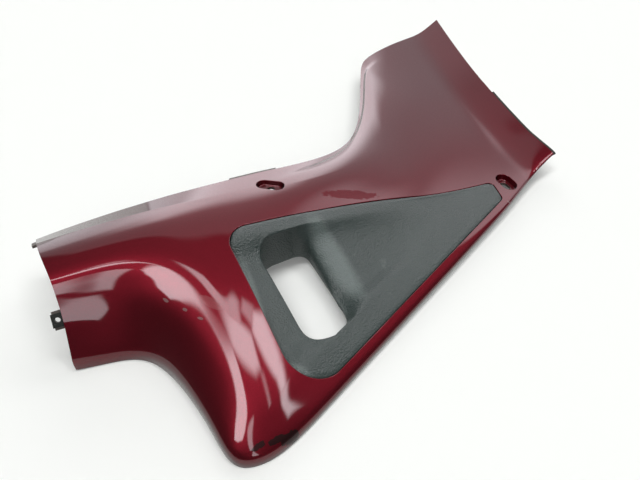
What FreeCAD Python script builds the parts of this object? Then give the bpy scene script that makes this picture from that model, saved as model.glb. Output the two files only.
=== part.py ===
import FreeCAD, Part
import math
import os

# Motorcycle side cover, lying with its outer face up. Millimetres, +Z up.
# X runs along the tunnel that covers the frame tube, +Y points to the seat side.

# Wall thicknesses
cover_wall = 2.5
insert_wall = 2.2
flange_thickness = 2.2
tongue_thickness = 2.0

# Fits between the cover and the insert behind it
opening_gap = 0.35
seat_gap = 0.15
insert_proud = 1.0
seat_depth = cover_wall + seat_gap
flange_under = seat_depth + flange_thickness

# Joggled edge along the side of the arm
joggle_depth = 3.0
joggle_width = 14.0
joggle_ramp = 5.0
joggle_blend = 3.0

# Grip insert: outline in plan, corners as (x, y, corner radius)
insert_left = -76.5
insert_top_left = (-76.5, 16.5, 17.0)
insert_top_right = (183.5, -4.7, 5.0)
insert_end_lean = -0.25
low_band = 8.0
low_right_radius = 6.0
low_left_radius = 24.0
flange_reach = 9.0
flange_reach_low = 3.0

# Hand hole: outline in plan at its rim, and the tube that hangs below it
hole_corners = ((-58.5, -1.0, 12.0), (-15.5, -1.0, 9.0), (-17.5, -82.0, 15.0), (-53.5, -95.5, 14.0))
hole_rim_roll = 3.2
hole_grip_roll = 20.0
hole_floor = 12.0

# Section of the insert's surface towards the hole, in rolls from the rim: where the plate ends, the crest
# and shoulder of the roll, the shoulder's fall, and how far down the tube's wall begins
roll_start = 1.5
roll_crest = 0.65
roll_shoulder = 0.08
shoulder_fall = 0.42
wall_fall = 0.58
least_tube = 2.5
tube_rows = (0.0, 0.35, 0.7, 1.0)
plate_rows = 12
outline_counts = (9, 4, 9, 6)
corner_points = 4
surface_margin = 4.5

# Finger ramp that dips into the hand hole from the right
ramp_depth = 9.0
ramp_end = 92.0
ramp_top_margin = 12.0
ramp_low_margin = 21.0
ramp_side_blend = 12.0

# Fixing points for M6 bolts in long dished recesses: plan position, direction in degrees, length of the
# straight sides, radius of the round ends, and length of the slot in the floor.
# The first takes up tolerance, the second locates.
fixing_points = ((196.5, -11.0, 90.0, 8.0, 7.5, 4.0), (-20.0, 52.5, -40.0, 11.0, 6.8, 0.0))
recess_depth = 5.0
recess_draft = 1.4
bolt_hole_radius = 3.3
cup_gap = 0.8

# Locating peg behind the arm; its free end pushes into a grommet in the frame
peg_point = (212.0, 208.0)
peg_radius = 4.0
peg_free_length = 12.0
peg_chamfer = 1.2
peg_root_radius = 5.6
peg_fin_thickness = 1.8
peg_fin_reach = 6.0

# Self-tapping screws that clamp the insert's collars to bosses in the cover
screw_stations = ((0, 0.12), (0, 0.52), (0, 0.88), (3, 0.25), (3, 0.64))
screw_core_radius = 1.45
screw_head_radius = 5.2
screw_head_height = 2.4
screw_head_chamfer = 0.9
screw_cover = 2.0
pilot_gap = 0.05
boss_radius = 3.4
boss_depth = 8.5
screw_seat = boss_depth + seat_gap
collar_wall = 2.2
collar_gap = 0.3

# Spring clip nut on the tab at the cut end of the tunnel
clip_shares = (0.215, 0.275)
clip_tab_margin = 0.012
clip_tab_reach = 6.4
clip_sheet = 0.8
clip_gap = 0.15
clip_hole_radius = 1.9
clip_hole_share = 0.55
clip_front = 0.5
clip_back = 6.0

# Rubber seal and foam pad behind the upturned flange
seal_shares = (0.05, 0.47)
seal_reach = 3.2
seal_cover = 9.0
seal_thickness = 2.4
pad_shares = (0.485, 0.53)
pad_reach = 1.6
pad_thickness = 3.0

# Tongues that hook under the seat panel: share of the far edge, reach past it
tongues = (((-0.004, 0.06), 4.5), ((0.16, 0.30), 3.0), ((0.375, 0.475), 7.5))
tongue_root = 10.0

# Stiffening ribs behind the arm, from and to in plan
rib_lines = (((232, 205), (262, 110)), ((176, 180), (205, 45)))
rib_thickness = 1.6
rib_height = 7.0

# Overlap that bonds moulded features to the wall that carries them, how far cutters run past the wall
# and past a boss, and half the height of tools that span the whole cover
bond = 0.3
cutter_reach = 12.0
boss_overrun = 2.0
room = 100.0

# Depths of the tongues' and the clip tab's two faces under the skin
tongue_top = cover_wall - bond
tongue_low = tongue_top + tongue_thickness

# Free-form skin: poles of a bicubic surface. Each rail runs the length of the cover and
# holds stops (station, x, y, z); the stations between two stops lie evenly between them.
stations = 20
lip_rail = (
    (0, -206, -18, 2), (1, -189, -22, 1.5), (2, -172, -25, 1.5), (3, -156, -35, 1.5), (4, -146, -57, 1.5),
    (5, -140, -82, 1.5), (6, -136, -108, 1.2), (7, -134, -135, 1), (8, -118, -142, 1), (9, -96, -141, 2),
    (10, -50, -123, 4), (14, 170, -39, 11), (16, 214, -20, 13), (17, 228, -14, 14), (18, 240, -10, 18),
    (19, 256, -8, 26))
foot_rail = (
    (0, -205, -16.5, 14), (1, -188, -20, 13), (2, -171, -22.5, 13), (3, -153.5, -32, 13), (4, -143, -54, 15),
    (5, -137, -79, 15), (6, -132.5, -105, 14), (7, -130, -130, 13), (8, -117, -137, 12), (9, -96, -137, 11),
    (10, -51, -119, 11), (14, 168.5, -35.5, 14.5), (16, 212.5, -16.5, 16), (17, 227, -10, 16.5),
    (18, 240, -5, 20), (19, 257, -3, 28))
shoulder_rail = (
    (0, -200, -1, 40), (2, -164, -3, 39.5), (3, -146, -10, 38.5), (4, -129, -30, 37), (5, -120, -57, 32.5),
    (6, -115, -84, 27.5), (7, -111, -107, 23.5), (8, -104, -115, 22), (9, -87, -111, 22.5), (10, -50, -84, 25),
    (14, 172, 8, 18), (16, 218, 30, 17), (17, 232, 34, 17), (18, 245, 36, 20), (19, 261, 34, 28))
crown_rail = (
    (0, -199, 18, 57), (2, -164, 17, 56), (3, -142, 12, 54.5), (4, -122, 2, 53), (5, -108, -12, 50),
    (6, -100, -28, 46), (7, -94, -40, 42.5), (8, -84, -44, 42), (9, -66, -38, 42), (10, -30, -18, 43),
    (11, 34, -2, 40), (12, 98, 10, 31), (14, 178, 70, 26), (16, 226, 88, 22), (17, 241, 90, 21),
    (18, 253, 90, 24), (19, 271, 88, 32))
crest_rail = (
    (0, -202, 46, 61), (2, -166, 45, 60), (4, -120, 42, 59), (6, -94, 36, 57), (8, -68, 28, 54),
    (9, -48, 28, 53), (10, -5, 32, 51), (11, 50, 44, 44), (12, 112, 64, 33), (13, 150, 125, 30),
    (14, 186, 145, 29), (16, 238, 150, 26), (17, 252, 151, 25), (18, 264, 151, 28), (19, 284, 150, 37))
far_rail = (
    (0, -206, 85, 42), (1, -185, 86, 43), (3, -145, 84, 46), (5, -100, 81, 48), (7, -58, 78, 48),
    (9, -12, 76, 46), (10, 30, 76, 41), (11, 92, 98, 28), (12, 142, 168, 24), (13, 184, 240, 24),
    (14, 196, 253, 26), (15, 226, 260, 30), (16, 262, 266, 32), (17, 286, 268, 32), (18, 302, 270, 36),
    (19, 322, 273, 45))
joggle_stops = ((0, 0), (10, 0), (11, 1), (13, 1), (14, 0), (19, 0))
edge_rise = 0.62
slope_fullness = 0.12


def vector(x, y, z=0.0):
    return FreeCAD.Vector(x, y, z)


def smooth(t):
    t = min(1.0, max(0.0, t))
    return t * t * (3 - 2 * t)


def between(stops, station):
    for first, second in zip(stops, stops[1:]):
        if first[0] <= station <= second[0]:
            t = (station - first[0]) / (second[0] - first[0])
            return [a + (b - a) * t for a, b in zip(first[1:], second[1:])]


def bicubic(poles, closed=False):
    """Uniform bicubic surface over a net of poles, closed round its first direction if asked."""
    rows, columns = len(poles), len(poles[0])
    surface = Part.BSplineSurface()
    if closed:
        u_knots = [i / rows for i in range(rows + 1)]
        u_mults = [1] * (rows + 1)
    else:
        u_knots = [i / (rows - 3) for i in range(rows - 2)]
        u_mults = [4] + [1] * (rows - 4) + [4]
    v_knots = [i / (columns - 3) for i in range(columns - 2)]
    v_mults = [4] + [1] * (columns - 4) + [4]
    surface.buildFromPolesMultsKnots(poles, u_mults, v_mults, u_knots, v_knots, closed, False, 3, 3)
    return surface


def skin_poles():
    net = []
    for station in range(stations):
        rails = (lip_rail, foot_rail, shoulder_rail, crown_rail, crest_rail, far_rail)
        lip, foot, shoulder, crown, crest, far = (vector(*between(rail, station)) for rail in rails)
        slope = crest + (far - crest) * 0.5 + vector(0, 0, slope_fullness * (crest.z - far.z))
        inward = (slope - far).normalize()
        step = vector(0, 0, -joggle_depth * between(joggle_stops, station)[0])
        ramp_top = far + inward * (joggle_width + joggle_ramp)
        ramp_low = far + inward * joggle_width + step
        blend = inward * joggle_blend
        upright = lip + vector(0, 0, edge_rise * (foot.z - lip.z))
        net.append([
            lip, upright, foot, (foot + shoulder) * 0.5, shoulder, (shoulder + crown) * 0.5, crown,
            (crown + crest) * 0.5, crest, slope, ramp_top + blend, ramp_top, ramp_low, ramp_low - blend,
            far + step])
    return net


def pole_stations(count, closed=False):
    """Parameter beside each pole of a uniform cubic row."""
    if closed:
        return [(i - 1) % count / count for i in range(count)]
    knots = [0, 0, 0] + [i / (count - 3) for i in range(count - 2)] + [1, 1, 1]
    return [sum(knots[i + 1:i + 4]) / 3 for i in range(count)]


def lowered(net, depth, closed=False):
    """Net of the surface that lies a wall's depth under another one."""
    surface = bicubic(net, closed)
    down = -depth if surface.normal(0.5, 0.5).z > 0 else depth
    return [[pole + surface.normal(u, v) * down for pole, v in zip(row, pole_stations(len(row)))]
            for row, u in zip(net, pole_stations(len(net), closed))]


def wall(top_net, low_net, closed=False):
    """Closed solid between two surfaces whose nets pair pole by pole."""
    top, low = bicubic(top_net, closed), bicubic(low_net, closed)
    pairs = [(top.vIso(v), low.vIso(v)) for v in (0, 1)]
    if not closed:
        pairs += [(top.uIso(u), low.uIso(u)) for u in (0, 1)]
    sides = [Part.makeRuledSurface(upper.toShape(), lower.toShape()) for upper, lower in pairs]
    shell = Part.makeShell([top.toShape(), low.toShape()] + sides)
    shell.sewShape()
    solid = Part.makeSolid(shell)
    return solid if solid.Volume > 0 else solid.reversed()


skin_net = skin_poles()
skin = bicubic(skin_net)
skin_face = skin.toShape()


def skin_height(x, y):
    """Height of the skin over a point in plan, with the surface parameters that reach it."""
    u, v = skin_seed(x, y)
    for _ in range(12):
        point = skin.value(u, v)
        du = skin.getDN(u, v, 1, 0)
        dv = skin.getDN(u, v, 0, 1)
        det = du.x * dv.y - du.y * dv.x
        ex, ey = x - point.x, y - point.y
        if math.hypot(ex, ey) < 1e-6:
            break
        u = min(1.0, max(0.0, u + (ex * dv.y - ey * dv.x) / det))
        v = min(1.0, max(0.0, v + (du.x * ey - du.y * ex) / det))
    return point.z, u, v


seed_grid = [(skin.value(i / 40, j / 30), i / 40, j / 30) for i in range(41) for j in range(31)]


def skin_seed(x, y):
    nearest = min(seed_grid, key=lambda s: (s[0].x - x) ** 2 + (s[0].y - y) ** 2)
    return nearest[1], nearest[2]


def sheet(top, bottom):
    """Closed solid between two depths under the skin."""
    return wall(lowered(skin_net, top), lowered(skin_net, bottom))


def meet(p, d, q, e):
    t = ((q[0] - p[0]) * e[1] - (q[1] - p[1]) * e[0]) / (d[0] * e[1] - d[1] * e[0])
    return p[0] + d[0] * t, p[1] + d[1] * t


def grown(corners, grow):
    """Outline with each side moved outward; the corners run clockwise seen from above."""
    count = len(corners)
    grow = grow if isinstance(grow, (tuple, list)) else [grow] * count
    lines = []
    for i in range(count):
        a, b = corners[i], corners[(i + 1) % count]
        length = math.hypot(b[0] - a[0], b[1] - a[1])
        d = ((b[0] - a[0]) / length, (b[1] - a[1]) / length)
        lines.append(((a[0] - d[1] * grow[i], a[1] + d[0] * grow[i]), d))
    result = []
    for i in range(count):
        before, after = lines[i - 1], lines[i]
        x, y = meet(before[0], before[1], after[0], after[1])
        result.append((x, y, max(0.6, corners[i][2] + min(grow[i - 1], grow[i]))))
    return result


def corner_arcs(corners):
    """Start, middle and end point of the arc at each corner."""
    arcs = []
    count = len(corners)
    for i in range(count):
        x, y, radius = corners[i]
        corner = vector(x, y)
        to_before = (vector(*corners[i - 1][:2]) - corner).normalize()
        to_after = (vector(*corners[(i + 1) % count][:2]) - corner).normalize()
        half = math.acos(to_before.dot(to_after)) / 2
        reach = radius / math.tan(half)
        bisector = (to_before + to_after).normalize()
        centre = corner + bisector * (radius / math.sin(half))
        arcs.append((corner + to_before * reach, centre - bisector * radius, corner + to_after * reach, centre))
    return arcs


def outline_wire(corners):
    arcs = corner_arcs(corners)
    edges = []
    for i, (start, middle, end, centre) in enumerate(arcs):
        edges.append(Part.Arc(start, middle, end).toShape())
        following = arcs[(i + 1) % len(arcs)][0]
        edges.append(Part.LineSegment(end, following).toShape())
    return Part.Wire(edges)


def outline_points(corners, side_counts, arc_count):
    """Points round an outline; equal counts pair two outlines corner by corner."""
    points = []
    arcs = corner_arcs(corners)
    for i, (start, middle, end, centre) in enumerate(arcs):
        a, b = start - centre, end - centre
        sweep = math.acos(max(-1.0, min(1.0, a.dot(b) / (a.Length * b.Length))))
        for k in range(arc_count):
            t = k / (arc_count - 1)
            points.append(centre + a * (math.sin(sweep * (1 - t)) / math.sin(sweep))
                          + b * (math.sin(sweep * t) / math.sin(sweep)))
        following = arcs[(i + 1) % len(arcs)][0]
        for k in range(1, side_counts[i] + 1):
            points.append(end + (following - end) * (k / (side_counts[i] + 1)))
    return points


def prism(corners):
    wire = outline_wire(corners)
    wire.translate(vector(0, 0, -room))
    return Part.Face(wire).extrude(vector(0, 0, 2 * room))


def insert_outline():
    """Corners of the insert; its low side runs beside the straight edge of the cover."""
    first, second = between(lip_rail, 10), between(lip_rail, 14)
    length = math.hypot(second[0] - first[0], second[1] - first[1])
    along = ((second[0] - first[0]) / length, (second[1] - first[1]) / length)
    low = (first[0] - along[1] * low_band, first[1] + along[0] * low_band)
    right = meet(insert_top_right, (insert_end_lean, -1), low, along)
    left = meet((insert_left, 0), (0, 1), low, along)
    return [insert_top_left, insert_top_right, (right[0], right[1], low_right_radius),
            (left[0], left[1], low_left_radius)]


insert_corners = insert_outline()


def inside_by(corners, side, x, y):
    """Distance of a point inside one side of an outline."""
    a, b = corners[side], corners[(side + 1) % len(corners)]
    length = math.hypot(b[0] - a[0], b[1] - a[1])
    return ((x - a[0]) * (b[1] - a[1]) - (y - a[1]) * (b[0] - a[0])) / length


def ramp_drop(x, y):
    grip_edge = hole_corners[1][0]
    along = smooth((ramp_end - x) / (ramp_end - grip_edge - hole_grip_roll))
    top = smooth((inside_by(insert_corners, 0, x, y) - ramp_top_margin) / ramp_side_blend)
    low = smooth((inside_by(insert_corners, 2, x, y) - ramp_low_margin) / ramp_side_blend)
    return ramp_depth * along * top * low


def insert_height(x, y):
    return skin_height(x, y)[0] + insert_proud - ramp_drop(x, y)


def insert_band():
    """Plate, finger ramp, rolled rim and hole tube as one surface closed round the hole."""
    outer = outline_points(grown(insert_corners, surface_margin), outline_counts, corner_points)
    hole = outline_points(list(hole_corners), outline_counts, corner_points)
    hole_left, hole_right = hole_corners[0][0], hole_corners[1][0]
    net = []
    for edge, rim in zip(outer, hole):
        share = smooth((2 * rim.x - hole_left - hole_right) / (hole_right - hole_left))
        roll = hole_rim_roll + (hole_grip_roll - hole_rim_roll) * share
        outward = (edge - rim).normalize()
        start = rim + outward * roll * roll_start
        row = []
        for step in range(plate_rows):
            point = edge + (start - edge) * (step / (plate_rows - 1))
            row.append(vector(point.x, point.y, insert_height(point.x, point.y)))
        crest = rim + outward * roll * roll_crest
        crest_z = insert_height(crest.x, crest.y)
        row.append(vector(crest.x, crest.y, crest_z))
        shoulder = rim + outward * roll * roll_shoulder
        row.append(vector(shoulder.x, shoulder.y, crest_z - roll * shoulder_fall))
        wall_top = max(hole_floor + least_tube, crest_z - roll * wall_fall)
        row += [vector(rim.x, rim.y, wall_top + (hole_floor - wall_top) * down) for down in tube_rows]
        net.append(row)
    return net


def frame_at(x, y):
    """Placement on the skin over a plan point, its Z along the outward normal."""
    z, u, v = skin_height(x, y)
    return FreeCAD.Placement(vector(x, y, z), FreeCAD.Rotation(vector(0, 0, 1), outward_normal(u, v)))


def outward_normal(u, v):
    normal = skin_face.normalAt(u, v)
    return normal if normal.z > 0 else normal * -1


def placed(shape, placement):
    moved = shape.copy()
    moved.Placement = placement.multiply(shape.Placement)
    return moved


def screw_frames():
    """Screw axes round the insert: side of the outline and share of that side."""
    line = grown(insert_corners, flange_reach / 2)
    frames = []
    for side, share in screw_stations:
        a, b = line[side], line[(side + 1) % len(line)]
        frames.append(frame_at(a[0] + (b[0] - a[0]) * share, a[1] + (b[1] - a[1]) * share))
    return frames


screw_axes = screw_frames()


def cylinder_down(radius, top, bottom):
    """Cylinder along a frame's axis between two depths under the skin."""
    return Part.makeCylinder(radius, bottom - top, vector(0, 0, -bottom))


def above(face):
    return face.extrude(vector(0, 0, 2 * room))


def below(face):
    return face.extrude(vector(0, 0, -2 * room))


def skin_offset(depth):
    return bicubic(lowered(skin_net, depth)).toShape()


def build_insert():
    """One moulding: plate with hole tube, edge wall down through the opening, flange and collars."""
    band = insert_band()
    band_face = bicubic(band, closed=True).toShape()
    edge = prism(grown(insert_corners, -opening_gap))
    core = prism(grown(insert_corners, -opening_gap - insert_wall))
    plate = wall(band, lowered(band, insert_wall, closed=True), closed=True).common(core)
    low_face = skin_offset(flange_under)
    edge_wall = edge.cut(core).cut(above(band_face)).cut(below(low_face))
    reach = prism(grown(insert_corners, (flange_reach, flange_reach, flange_reach_low, flange_reach)))
    keep_out = [recess_cup(point, cup_gap) for point in fixing_points]
    flange = reach.cut([edge] + keep_out).common(sheet(seat_depth, flange_under))
    collar_outer = boss_radius + collar_gap + collar_wall
    collar = cylinder_down(collar_outer, flange_under - bond, boss_depth)
    bore = cylinder_down(boss_radius + collar_gap, 0, boss_depth + boss_overrun)
    body = plate.fuse([edge_wall, flange] + [placed(collar, axis) for axis in screw_axes])
    return body.cut([placed(bore, axis) for axis in screw_axes]).removeSplitter()


def build_screw(axis):
    """Self-tapping screw, its washer head under collar and boss, its core up in the boss."""
    head = cylinder_down(screw_head_radius, screw_seat, screw_seat + screw_head_height)
    lower_edge = min(head.Edges, key=lambda edge: edge.BoundBox.ZMax)
    head = head.makeChamfer(screw_head_chamfer, [lower_edge])
    core = cylinder_down(screw_core_radius, screw_cover, screw_seat + bond)
    return placed(head.fuse(core), axis)


def edge_point(side, share):
    """Point, outward direction and normal on an edge of the skin, also a little past its end."""
    if side == "far":
        u, v = max(0.0, share), 1.0
        outward = skin.getDN(u, v, 0, 1)
        past = skin.getDN(u, v, 1, 0) * (share - u)
    else:
        u, v = (1.0 if side == "lip" else 0.0), share
        outward = skin.getDN(u, v, 1, 0) * (1 if side == "lip" else -1)
        past = vector(0, 0)
    return skin.value(u, v) + past, outward.normalize(), outward_normal(u, v)


def edge_bar(side, span, section, count=5):
    """Bar along an edge of the skin; its section holds (reach past the edge, depth) corners."""
    wires = []
    for i in range(count):
        point, outward, normal = edge_point(side, span[0] + (span[1] - span[0]) * i / (count - 1))
        corners = [point + outward * reach - normal * depth for reach, depth in section]
        wires.append(Part.makePolygon(corners + [corners[0]]))
    return Part.makeLoft(wires, True, False)


def flat_section(inside, reach, top, thickness):
    return ((-inside, top), (reach, top), (reach, top + thickness), (-inside, top + thickness))


def obround(straight, low_radius, top_radius, height):
    """Solid with straight sides along X and round ends, widening from its low to its top radius."""
    if straight == 0:
        return Part.makeCylinder(low_radius, height)
    half = straight / 2
    wires = []
    for radius, z in ((low_radius, 0), (top_radius, height)):
        corners = [vector(half, radius, z), vector(half, -radius, z),
                   vector(-half, -radius, z), vector(-half, radius, z)]
        wires.append(Part.Wire([
            Part.Arc(corners[0], vector(half + radius, 0, z), corners[1]).toShape(),
            Part.LineSegment(corners[1], corners[2]).toShape(),
            Part.Arc(corners[2], vector(-half - radius, 0, z), corners[3]).toShape(),
            Part.LineSegment(corners[3], corners[0]).toShape()]))
    return Part.makeLoft(wires, True, True)


def at_recess(point, drop):
    """Placement of a fixing recess, a distance under the skin at its middle."""
    x, y, direction = point[:3]
    turn = FreeCAD.Rotation(vector(0, 0, 1), direction)
    return FreeCAD.Placement(vector(x, y, skin_height(x, y)[0] - drop), turn)


def recess_cup(point, gap=0.0):
    """Outside of a dished recess, or the space that its neighbour leaves free round it."""
    straight, radius = point[3:5]
    outer = radius + cover_wall + gap
    cup = obround(straight, outer, outer, recess_depth + cutter_reach)
    return placed(cup, at_recess(point, recess_depth + cover_wall + gap))


def fixing_cut(point):
    """Dished recess with a bolt hole or slot through its floor."""
    straight, radius, slot = point[3:]
    high = recess_depth + cutter_reach
    floor_radius = radius - recess_draft
    dish = obround(straight, floor_radius, floor_radius + recess_draft * high / recess_depth, high)
    drill = obround(slot, bolt_hole_radius, bolt_hole_radius, 2 * cutter_reach)
    return placed(dish, at_recess(point, recess_depth)).fuse(placed(drill, at_recess(point, cutter_reach * 1.5)))


def peg_shape(over, foot):
    """Locating peg with crossed fins that stop short of its free end."""
    x, y = peg_point
    z = skin_height(x, y)[0]
    shank = Part.makeCylinder(peg_radius, peg_free_length + bond, vector(x, y, foot))
    shank = shank.makeChamfer(peg_chamfer, [min(shank.Edges, key=lambda edge: edge.BoundBox.ZMax)])
    root_low = foot + peg_free_length
    root_height = z + cutter_reach - root_low
    root = [Part.makeCylinder(peg_root_radius, root_height, vector(x, y, root_low))]
    half = peg_radius + peg_fin_reach
    for size_x, size_y in ((half, peg_fin_thickness / 2), (peg_fin_thickness / 2, half)):
        root.append(Part.makeBox(2 * size_x, 2 * size_y, root_height, vector(x - size_x, y - size_y, root_low)))
    return shank.fuse(root).cut(over)


def rib(start, end, band):
    dx, dy = end[0] - start[0], end[1] - start[1]
    slab = Part.makeBox(math.hypot(dx, dy), rib_thickness, 2 * room, vector(0, -rib_thickness / 2, -room))
    turn = FreeCAD.Rotation(vector(0, 0, 1), math.degrees(math.atan2(dy, dx)))
    slab.Placement = FreeCAD.Placement(vector(*start), turn)
    return slab.common(band)


def clip_hole():
    point, outward, normal = edge_point("cut", sum(clip_shares) / 2)
    centre = point + outward * clip_tab_reach * clip_hole_share
    return Part.makeCylinder(clip_hole_radius, 2 * cutter_reach, centre - normal * cutter_reach, normal)


def build_cover():
    over = above(skin_offset(bond))
    under = sheet(cover_wall - bond, cover_wall + rib_height)
    shell = sheet(0, cover_wall).cut(prism(insert_corners))
    features = [recess_cup(point).cut(over) for point in fixing_points]
    features.append(peg_shape(over, floor_level()))
    features += [rib(start, end, under) for start, end in rib_lines]
    for span, reach in tongues:
        features.append(edge_bar("far", span, flat_section(tongue_root, reach, tongue_top, tongue_thickness)))
    tab_span = (clip_shares[0] - clip_tab_margin, clip_shares[1] + clip_tab_margin)
    tab_section = flat_section(tongue_root, clip_tab_reach, tongue_top, tongue_thickness)
    features.append(edge_bar("cut", tab_span, tab_section))
    boss = cylinder_down(boss_radius, cover_wall - bond, boss_depth)
    pilot = cylinder_down(screw_core_radius + pilot_gap, screw_cover - pilot_gap, boss_depth + boss_overrun)
    features += [placed(boss, axis) for axis in screw_axes]
    cuts = [fixing_cut(point) for point in fixing_points] + [clip_hole()]
    cuts += [placed(pilot, axis) for axis in screw_axes]
    return shell.fuse(features).cut(cuts).removeSplitter()


def floor_level():
    """Height of the lowest point of the lip, where the cover rests."""
    return skin_offset(cover_wall).optimalBoundingBox().ZMin


def build_clip():
    """Spring steel clip nut folded over the tab past the cut end."""
    near, far = tongue_top - clip_gap, tongue_low + clip_gap
    nose = clip_tab_reach + clip_gap
    section = (
        (clip_front, near - clip_sheet), (nose + clip_sheet, near - clip_sheet),
        (nose + clip_sheet, far + clip_sheet), (-clip_back, far + clip_sheet),
        (-clip_back, far), (nose, far), (nose, near), (clip_front, near))
    return edge_bar("cut", clip_shares, section, 3).cut(clip_hole())


def build_nodes():
    seal_section = flat_section(seal_cover, seal_reach, seat_depth, seal_thickness)
    pad_section = flat_section(seal_cover, pad_reach, seat_depth, pad_thickness)
    nodes = {
        "painted_cover": build_cover(),
        "grip_insert": build_insert(),
        "clip_nut": build_clip(),
        "edge_seal": edge_bar("lip", seal_shares, seal_section, 9),
        "foam_pad": edge_bar("lip", pad_shares, pad_section, 3),
    }
    for number, axis in enumerate(screw_axes, 1):
        nodes["insert_screw_%d" % number] = build_screw(axis)
    return nodes


def write_nodes(nodes):
    """Move the assembly so that its origin is under the middle of its bounding box, and export it."""
    os.makedirs("parts", exist_ok=True)
    box = FreeCAD.BoundBox()
    for shape in nodes.values():
        box.add(shape.optimalBoundingBox())
    move = vector(-box.Center.x, -box.Center.y, -box.ZMin)
    for name, shape in nodes.items():
        shape.translate(move)
        shape.exportStep("parts/%s.step" % name)
        print(name, shape.ShapeType, shape.isValid(), len(shape.Solids), round(shape.Volume))
    print("moved by", move)
    for point in fixing_points:
        print("fixing hole", at_recess(point, recess_depth + cover_wall / 2).Base + move)
    print("peg foot", vector(*peg_point, floor_level()) + move)
    print("clip axis", clip_hole().CenterOfMass + move, edge_point("cut", sum(clip_shares) / 2)[2])


if __name__ == "__main__":
    write_nodes(build_nodes())
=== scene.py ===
import math

import bmesh
import bpy
import numpy as np
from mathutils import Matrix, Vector
from mathutils.kdtree import KDTree


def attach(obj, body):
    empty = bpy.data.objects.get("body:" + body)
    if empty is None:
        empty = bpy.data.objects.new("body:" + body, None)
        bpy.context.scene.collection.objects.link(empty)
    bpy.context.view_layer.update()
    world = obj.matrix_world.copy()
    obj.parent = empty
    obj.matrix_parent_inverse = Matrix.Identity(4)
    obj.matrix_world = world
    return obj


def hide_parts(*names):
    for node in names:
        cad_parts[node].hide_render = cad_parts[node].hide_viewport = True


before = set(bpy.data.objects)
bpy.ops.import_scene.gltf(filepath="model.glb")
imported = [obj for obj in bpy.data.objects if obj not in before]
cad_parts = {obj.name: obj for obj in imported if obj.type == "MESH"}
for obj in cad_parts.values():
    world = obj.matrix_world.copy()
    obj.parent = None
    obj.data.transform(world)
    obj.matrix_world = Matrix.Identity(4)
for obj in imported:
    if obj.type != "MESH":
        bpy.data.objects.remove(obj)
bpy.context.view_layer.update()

mm = 0.001

# Skin of the cover: rails of stops (station, x, y, z) in mm, as in the part's source
skin = {
    "origin": np.array([-56.2537, -65.9160, -1.0159]),   # from the rails' own zero to the part's
    "stations": 20, "slopeFullness": 0.12, "edgeRise": 0.62, "seeds": (401, 301),
    "rails": ("lip", "foot", "shoulder", "crown", "crest", "far"),
    "joggle": {"depth": 3.0, "width": 14.0, "ramp": 5.0, "blend": 3.0},
    "joggleStops": ((0, 0), (10, 0), (11, 1), (13, 1), (14, 0), (19, 0)),
    "lip": ((0, -206, -18, 2), (1, -189, -22, 1.5), (2, -172, -25, 1.5), (3, -156, -35, 1.5),
            (4, -146, -57, 1.5), (5, -140, -82, 1.5), (6, -136, -108, 1.2), (7, -134, -135, 1),
            (8, -118, -142, 1), (9, -96, -141, 2), (10, -50, -123, 4), (14, 170, -39, 11),
            (16, 214, -20, 13), (17, 228, -14, 14), (18, 240, -10, 18), (19, 256, -8, 26)),
    "foot": ((0, -205, -16.5, 14), (1, -188, -20, 13), (2, -171, -22.5, 13), (3, -153.5, -32, 13),
             (4, -143, -54, 15), (5, -137, -79, 15), (6, -132.5, -105, 14), (7, -130, -130, 13),
             (8, -117, -137, 12), (9, -96, -137, 11), (10, -51, -119, 11), (14, 168.5, -35.5, 14.5),
             (16, 212.5, -16.5, 16), (17, 227, -10, 16.5), (18, 240, -5, 20), (19, 257, -3, 28)),
    "shoulder": ((0, -200, -1, 40), (2, -164, -3, 39.5), (3, -146, -10, 38.5), (4, -129, -30, 37),
                 (5, -120, -57, 32.5), (6, -115, -84, 27.5), (7, -111, -107, 23.5), (8, -104, -115, 22),
                 (9, -87, -111, 22.5), (10, -50, -84, 25), (14, 172, 8, 18), (16, 218, 30, 17),
                 (17, 232, 34, 17), (18, 245, 36, 20), (19, 261, 34, 28)),
    "crown": ((0, -199, 18, 57), (2, -164, 17, 56), (3, -142, 12, 54.5), (4, -122, 2, 53),
              (5, -108, -12, 50), (6, -100, -28, 46), (7, -94, -40, 42.5), (8, -84, -44, 42),
              (9, -66, -38, 42), (10, -30, -18, 43), (11, 34, -2, 40), (12, 98, 10, 31), (14, 178, 70, 26),
              (16, 226, 88, 22), (17, 241, 90, 21), (18, 253, 90, 24), (19, 271, 88, 32)),
    "crest": ((0, -202, 46, 61), (2, -166, 45, 60), (4, -120, 42, 59), (6, -94, 36, 57), (8, -68, 28, 54),
              (9, -48, 28, 53), (10, -5, 32, 51), (11, 50, 44, 44), (12, 112, 64, 33), (13, 150, 125, 30),
              (14, 186, 145, 29), (16, 238, 150, 26), (17, 252, 151, 25), (18, 264, 151, 28),
              (19, 284, 150, 37)),
    "far": ((0, -206, 85, 42), (1, -185, 86, 43), (3, -145, 84, 46), (5, -100, 81, 48), (7, -58, 78, 48),
            (9, -12, 76, 46), (10, 30, 76, 41), (11, 92, 98, 28), (12, 142, 168, 24), (13, 184, 240, 24),
            (14, 196, 253, 26), (15, 226, 260, 30), (16, 262, 266, 32), (17, 286, 268, 32),
            (18, 302, 270, 36), (19, 322, 273, 45)),
}
originX, originY, originZ = skin["origin"]


def unit(vectors):
    return vectors / np.linalg.norm(vectors, axis=-1, keepdims=True)


def raised(plan, height):
    return np.column_stack([plan, np.broadcast_to(height, len(plan))])


def between(stops, station):
    for first, second in zip(stops, stops[1:]):
        if first[0] <= station <= second[0]:
            t = (station - first[0]) / (second[0] - first[0])
            return np.array(first[1:]) * (1 - t) + np.array(second[1:]) * t


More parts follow.
